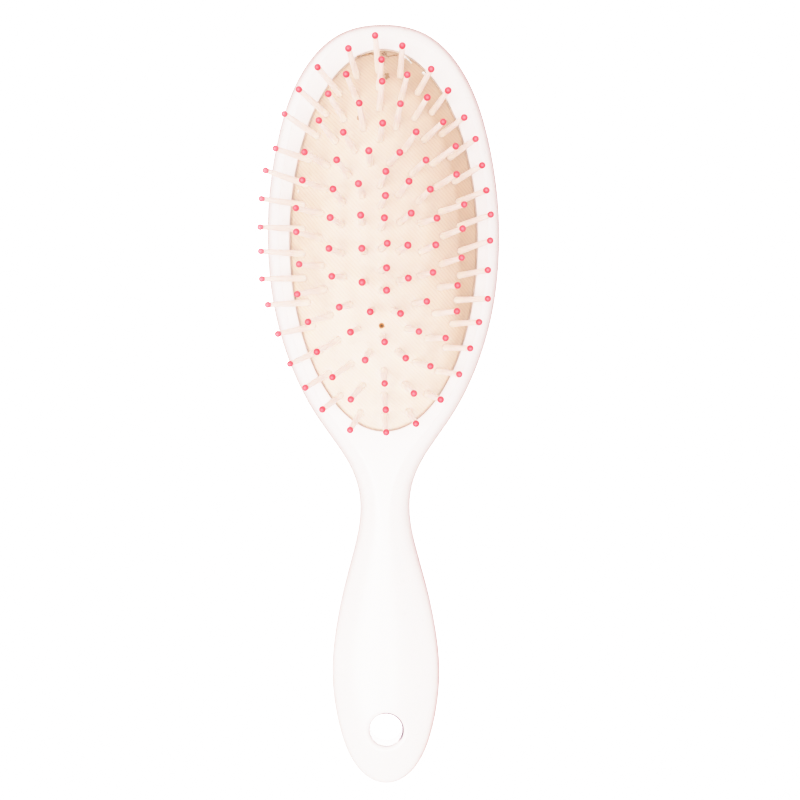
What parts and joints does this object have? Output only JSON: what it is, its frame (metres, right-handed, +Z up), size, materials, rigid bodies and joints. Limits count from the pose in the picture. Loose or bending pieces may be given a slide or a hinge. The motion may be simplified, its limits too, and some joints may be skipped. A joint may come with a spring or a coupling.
{
  "type": "cushion hair brush",
  "caption": "Oval styling brush with a domed rubber cushion of slanted ball-tipped pins, a two-shell frame and a handle with a hanging hole.",
  "frame": {"origin": "middle of the footprint, on the surface that the brush lies on with its pins up", "axes": "+Z up, away from the back, in the direction that the pins stand; +Y along the brush from the handle to the head; +X to the right when the pins face the viewer and the head is up"},
  "size_m": [0.0721, 0.23, 0.0404],
  "materials": {
    "shell_plastic": "gloss",
    "cushion_rubber": "matt, fine diagonal weave",
    "pin_plastic": "milky, slightly translucent",
    "tip_resin": "gloss",
    "adhesive": "satin"
  },
  "bodies": {
    "frame": {"front_shell": "shell_plastic", "back_shell": "shell_plastic", "cushion_pad": "cushion_rubber", "cushion_adhesive": "adhesive"},
    "pins_body_row1_sides": {"pins_row1_sides": "pin_plastic", "tips_row1_sides": "tip_resin"},
    "pins_body_row1_ends": {"pins_row1_ends": "pin_plastic", "tips_row1_ends": "tip_resin"},
    "pins_body_row2_sides": {"pins_row2_sides": "pin_plastic", "tips_row2_sides": "tip_resin"},
    "pins_body_row2_ends": {"pins_row2_ends": "pin_plastic", "tips_row2_ends": "tip_resin"},
    "pins_body_row3_sides": {"pins_row3_sides": "pin_plastic", "tips_row3_sides": "tip_resin"},
    "pins_body_row3_ends": {"pins_row3_ends": "pin_plastic", "tips_row3_ends": "tip_resin"},
    "pins_body_row4_sides": {"pins_row4_sides": "pin_plastic", "tips_row4_sides": "tip_resin"},
    "pins_body_row4_ends": {"pins_row4_ends": "pin_plastic", "tips_row4_ends": "tip_resin"},
    "pins_body_centre_row": {"pins_centre_row": "pin_plastic", "tips_centre_row": "tip_resin"}
  },
  "joints": [
    {"name": "centre_row_press", "type": "slide", "parent": "frame", "child": "pins_body_centre_row", "axis": [0, 0, -1], "range_m": [0, 0.004], "stiffness_N_per_m": 300, "deforming": ["cushion_pad"]},
    {"name": "row1_sides_press", "type": "slide", "parent": "frame", "child": "pins_body_row1_sides", "axis": [0, 0, -1], "range_m": [0, 0.00127], "stiffness_N_per_m": 200},
    {"name": "row1_ends_press", "type": "slide", "parent": "frame", "child": "pins_body_row1_ends", "axis": [0, 0, -1], "range_m": [0, 0.000905], "stiffness_N_per_m": 200},
    {"name": "row2_sides_press", "type": "slide", "parent": "frame", "child": "pins_body_row2_sides", "axis": [0, 0, -1], "range_m": [0, 0.00244], "stiffness_N_per_m": 200},
    {"name": "row2_ends_press", "type": "slide", "parent": "frame", "child": "pins_body_row2_ends", "axis": [0, 0, -1], "range_m": [0, 0.00191], "stiffness_N_per_m": 200},
    {"name": "row3_sides_press", "type": "slide", "parent": "frame", "child": "pins_body_row3_sides", "axis": [0, 0, -1], "range_m": [0, 0.00335], "stiffness_N_per_m": 200},
    {"name": "row3_ends_press", "type": "slide", "parent": "frame", "child": "pins_body_row3_ends", "axis": [0, 0, -1], "range_m": [0, 0.00275], "stiffness_N_per_m": 200},
    {"name": "row4_sides_press", "type": "slide", "parent": "frame", "child": "pins_body_row4_sides", "axis": [0, 0, -1], "range_m": [0, 0.00389], "stiffness_N_per_m": 200},
    {"name": "row4_ends_press", "type": "slide", "parent": "frame", "child": "pins_body_row4_ends", "axis": [0, 0, -1], "range_m": [0, 0.00339], "stiffness_N_per_m": 200}
  ],
  "couplings": [
    {"joint": "row1_sides_press", "follows": "centre_row_press", "ratio": 0.3171},
    {"joint": "row1_ends_press", "follows": "centre_row_press", "ratio": 0.2259},
    {"joint": "row2_sides_press", "follows": "centre_row_press", "ratio": 0.6102},
    {"joint": "row2_ends_press", "follows": "centre_row_press", "ratio": 0.4767},
    {"joint": "row3_sides_press", "follows": "centre_row_press", "ratio": 0.8384},
    {"joint": "row3_ends_press", "follows": "centre_row_press", "ratio": 0.6867},
    {"joint": "row4_sides_press", "follows": "centre_row_press", "ratio": 0.9722},
    {"joint": "row4_ends_press", "follows": "centre_row_press", "ratio": 0.8464}
  ]
}
